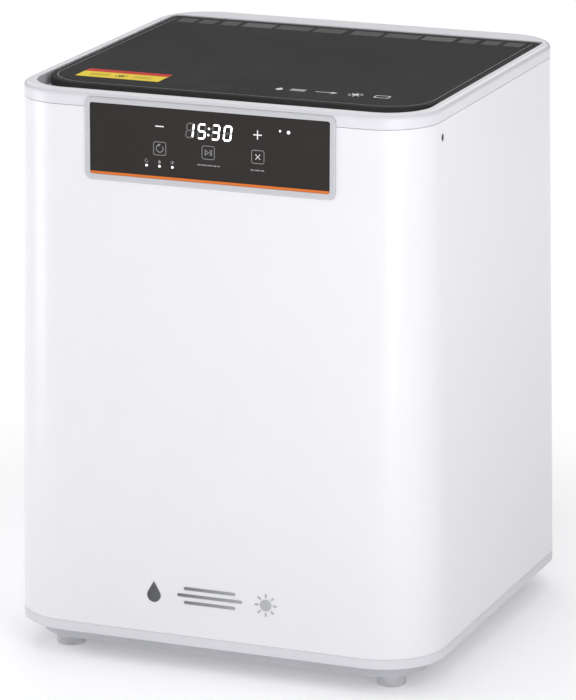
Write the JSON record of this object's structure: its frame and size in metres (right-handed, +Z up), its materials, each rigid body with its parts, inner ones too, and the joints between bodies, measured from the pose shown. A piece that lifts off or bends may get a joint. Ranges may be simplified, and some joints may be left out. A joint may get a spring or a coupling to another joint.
{
  "type": "wash and cure station",
  "caption": "Countertop washing and curing station for resin prints: drafted housing, tinted hinged lid, touch panel, lift-out bucket, basket and magnetic impeller.",
  "frame": {"origin": "on the floor plane, under the middle of the housing's bounding box", "axes": "+Z up; -Y towards the control panel (front); +X to the right when facing the panel"},
  "size_m": [0.3764, 0.3738, 0.485],
  "materials": {
    "white_shell": "smooth satin-gloss white moulding",
    "rim_white": "smooth satin white moulding, slightly greyer than the shell",
    "base_light": "fine-textured light grey moulding",
    "base_grey": "fine-textured mid grey moulding",
    "foot_rubber": "matt grey rubber",
    "steel_screw": "zinc-plated steel",
    "bezel_grey": "satin light grey moulding",
    "panel_black": "back-printed black acrylic, glossy",
    "accent_orange": "glossy orange moulding",
    "display_dark": "dark moulded display block",
    "pad_copper": "coiled copper key springs",
    "board_green": "solder-masked circuit board",
    "emblem_grey": "satin silver transfer",
    "chamber_metal": "bright reflective formed sheet",
    "seal_rubber": "soft black seal",
    "cover_clear": "clear lamp cover",
    "strip_white": "white-faced aluminium lamp strip",
    "led_lens": "lamp package with clear dome",
    "sink_aluminium": "extruded aluminium",
    "motor_steel": "black painted steel",
    "bracket_zinc": "zinc-plated sheet",
    "bush_brass": "turned brass",
    "shaft_steel": "ground steel",
    "turntable_grey": "moulded dark grey disc",
    "magnet_nickel": "nickel-plated magnets",
    "bucket_clear": "smoky moulded bucket",
    "stainless": "brushed stainless steel",
    "grip_black": "textured black grip",
    "impeller_black": "moulded black impeller",
    "lid_tinted": "dark amber-brown tinted acrylic",
    "lid_frame_black": "matt black printed frame",
    "pin_steel": "ground steel pin",
    "sensor_black": "moulded sensor case",
    "rear_grey": "fine-textured dark grey rear panel",
    "screw_black": "blackened steel screws",
    "fan_black": "moulded fan",
    "inlet_black": "moulded inlet",
    "pin_brass": "plated blades",
    "rocker_black": "glossy black rocker",
    "supply_silver": "folded aluminium case",
    "standoff_brass": "hexagonal brass",
    "chip_black": "moulded components",
    "wire_black": "sleeved wiring"
  },
  "bodies": {
    "housing": {"housing_shell": "white_shell", "top_rim": "rim_white", "base_tray": "base_light", "base_plate": "base_grey", "feet": "foot_rubber", "foot_screws": "steel_screw", "panel_bezel": "bezel_grey", "panel_glass": "panel_black", "accent_strip": "accent_orange", "display_module": "display_dark", "key_pads": "pad_copper", "panel_board": "board_green", "emblem": "emblem_grey", "chamber_liner": "chamber_metal", "chamber_floor": "chamber_metal", "mouth_seal": "seal_rubber", "led_covers": "cover_clear", "led_strips": "strip_white", "uv_leds": "led_lens", "heat_sinks": "sink_aluminium", "drive_motor": "motor_steel", "motor_bracket": "bracket_zinc", "motor_screws": "steel_screw", "drive_bush": "bush_brass", "hinge_pins": "pin_steel", "lid_sensor": "sensor_black", "rear_panel": "rear_grey", "rear_screws": "screw_black", "fan_grille": "screw_black", "fan_frame": "fan_black", "power_inlet": "inlet_black", "inlet_pins": "pin_brass", "switch_body": "inlet_black", "power_supply": "supply_silver", "standoffs": "standoff_brass", "main_board": "board_green", "board_parts": "chip_black", "wiring_loom": "wire_black", "supply_lead": "wire_black"},
    "lid": {"lid_cover": "lid_tinted", "lid_frame": "lid_frame_black", "lid_magnet": "magnet_nickel"},
    "drive": {"drive_shaft": "shaft_steel", "turntable": "turntable_grey", "drive_magnets": "magnet_nickel"},
    "bucket": {"wash_bucket": "bucket_clear", "bucket_pivots": "stainless"},
    "handle": {"bucket_handle": "stainless", "handle_grip": "grip_black"},
    "basket": {"wash_basket": "stainless"},
    "impeller": {"impeller": "impeller_black", "impeller_magnets": "magnet_nickel"},
    "rocker": {"power_rocker": "rocker_black"},
    "fan": {"fan_rotor": "fan_black"}
  },
  "joints": [
    {"name": "lid_hinge", "type": "hinge", "parent": "housing", "child": "lid", "pos_m": [0, 0.144, 0.481], "axis": [-1, 0, 0], "range_deg": [0, 95]},
    {"name": "drive_spin", "type": "hinge", "parent": "housing", "child": "drive", "pos_m": [0, -0.005, 0.1], "axis": [0, 0, 1], "continuous": true},
    {"name": "bucket_lift", "type": "slide", "parent": "housing", "child": "bucket", "axis": [0, 0, 1], "range_m": [0, 0.015]},
    {"name": "handle_swing", "type": "hinge", "parent": "bucket", "child": "handle", "pos_m": [0, -0.005, 0.33], "axis": [-1, 0, 0], "range_deg": [0, 90]},
    {"name": "basket_lift", "type": "slide", "parent": "bucket", "child": "basket", "axis": [0, 0, 1], "range_m": [0, 0.06]},
    {"name": "impeller_spin", "type": "hinge", "parent": "bucket", "child": "impeller", "pos_m": [0, -0.005, 0.1294], "axis": [0, 0, 1], "continuous": true},
    {"name": "power_rocker_tilt", "type": "hinge", "parent": "housing", "child": "rocker", "pos_m": [0.032, 0.18035, 0.12796], "axis": [-1, 0, 0], "range_deg": [0, 16]},
    {"name": "fan_spin", "type": "hinge", "parent": "housing", "child": "fan", "pos_m": [0, 0.17193, 0.32985], "axis": [0, 0.9999, 0.0169], "continuous": true}
  ],
  "couplings": [
    {"joint": "impeller_spin", "follows": "drive_spin", "ratio": 1}
  ]
}
